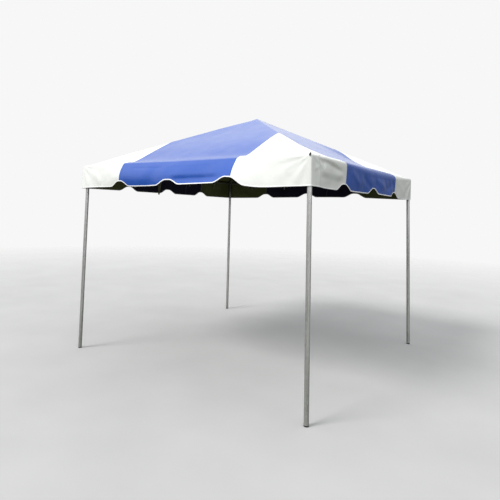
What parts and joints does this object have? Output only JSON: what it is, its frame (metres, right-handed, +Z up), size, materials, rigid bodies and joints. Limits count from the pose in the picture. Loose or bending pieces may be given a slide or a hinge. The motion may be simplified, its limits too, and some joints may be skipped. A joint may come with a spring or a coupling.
{
  "type": "frame tent",
  "caption": "Frame tent with a square hipped vinyl top in blue and white stripes, a scalloped valance, and tube legs, eave rails and hip rafters in slip fittings.",
  "frame": {"origin": "on the floor under the middle of the tent's bounding box, which the hem blown out at the front makes longer than the frame, so that the peak is 51 mm behind it", "axes": "+Z up to the peak; the front faces -Y and the right side faces +X; the four sides run along X and Y"},
  "size_m": [3.0753, 3.1552, 2.8779],
  "materials": {
    "blue_vinyl": "coated polyester fabric, satin",
    "white_vinyl": "coated polyester fabric, satin",
    "galvanised_steel": "galvanised, dull grey",
    "black_plastic": "moulded, matt",
    "webbing": "woven polyester strap"
  },
  "bodies": {
    "root": {"leg_front_left": "galvanised_steel", "leg_front_right": "galvanised_steel", "leg_back_right": "galvanised_steel", "leg_back_left": "galvanised_steel", "foot_plug_front_left": "black_plastic", "foot_plug_front_right": "black_plastic", "foot_plug_back_right": "black_plastic", "foot_plug_back_left": "black_plastic", "corner_fitting_front_left": "galvanised_steel", "corner_fitting_front_right": "galvanised_steel", "corner_fitting_back_right": "galvanised_steel", "corner_fitting_back_left": "galvanised_steel", "crown_fitting": "galvanised_steel", "eave_rail_front": "galvanised_steel", "eave_rail_right": "galvanised_steel", "eave_rail_back": "galvanised_steel", "eave_rail_left": "galvanised_steel", "hip_rafter_front_left": "galvanised_steel", "hip_rafter_front_right": "galvanised_steel", "hip_rafter_back_right": "galvanised_steel", "hip_rafter_back_left": "galvanised_steel", "roof_blue_front": "blue_vinyl", "roof_blue_right": "blue_vinyl", "roof_blue_back": "blue_vinyl", "roof_blue_left": "blue_vinyl", "roof_white_front_near_left": "white_vinyl", "roof_white_front_near_right": "white_vinyl", "roof_white_right_near_front": "white_vinyl", "roof_white_right_near_back": "white_vinyl", "roof_white_back_near_right": "white_vinyl", "roof_white_back_near_left": "white_vinyl", "roof_white_left_near_back": "white_vinyl", "roof_white_left_near_front": "white_vinyl", "valance_blue_front": "blue_vinyl", "valance_blue_right": "blue_vinyl", "valance_blue_back": "blue_vinyl", "valance_blue_left": "blue_vinyl", "valance_white_front_near_left": "white_vinyl", "valance_white_front_near_right": "white_vinyl", "valance_white_right_near_front": "white_vinyl", "valance_white_right_near_back": "white_vinyl", "valance_white_back_near_right": "white_vinyl", "valance_white_back_near_left": "white_vinyl", "valance_white_left_near_back": "white_vinyl", "valance_white_left_near_front": "white_vinyl", "tie_loop_left": "webbing"}
  },
  "joints": []
}
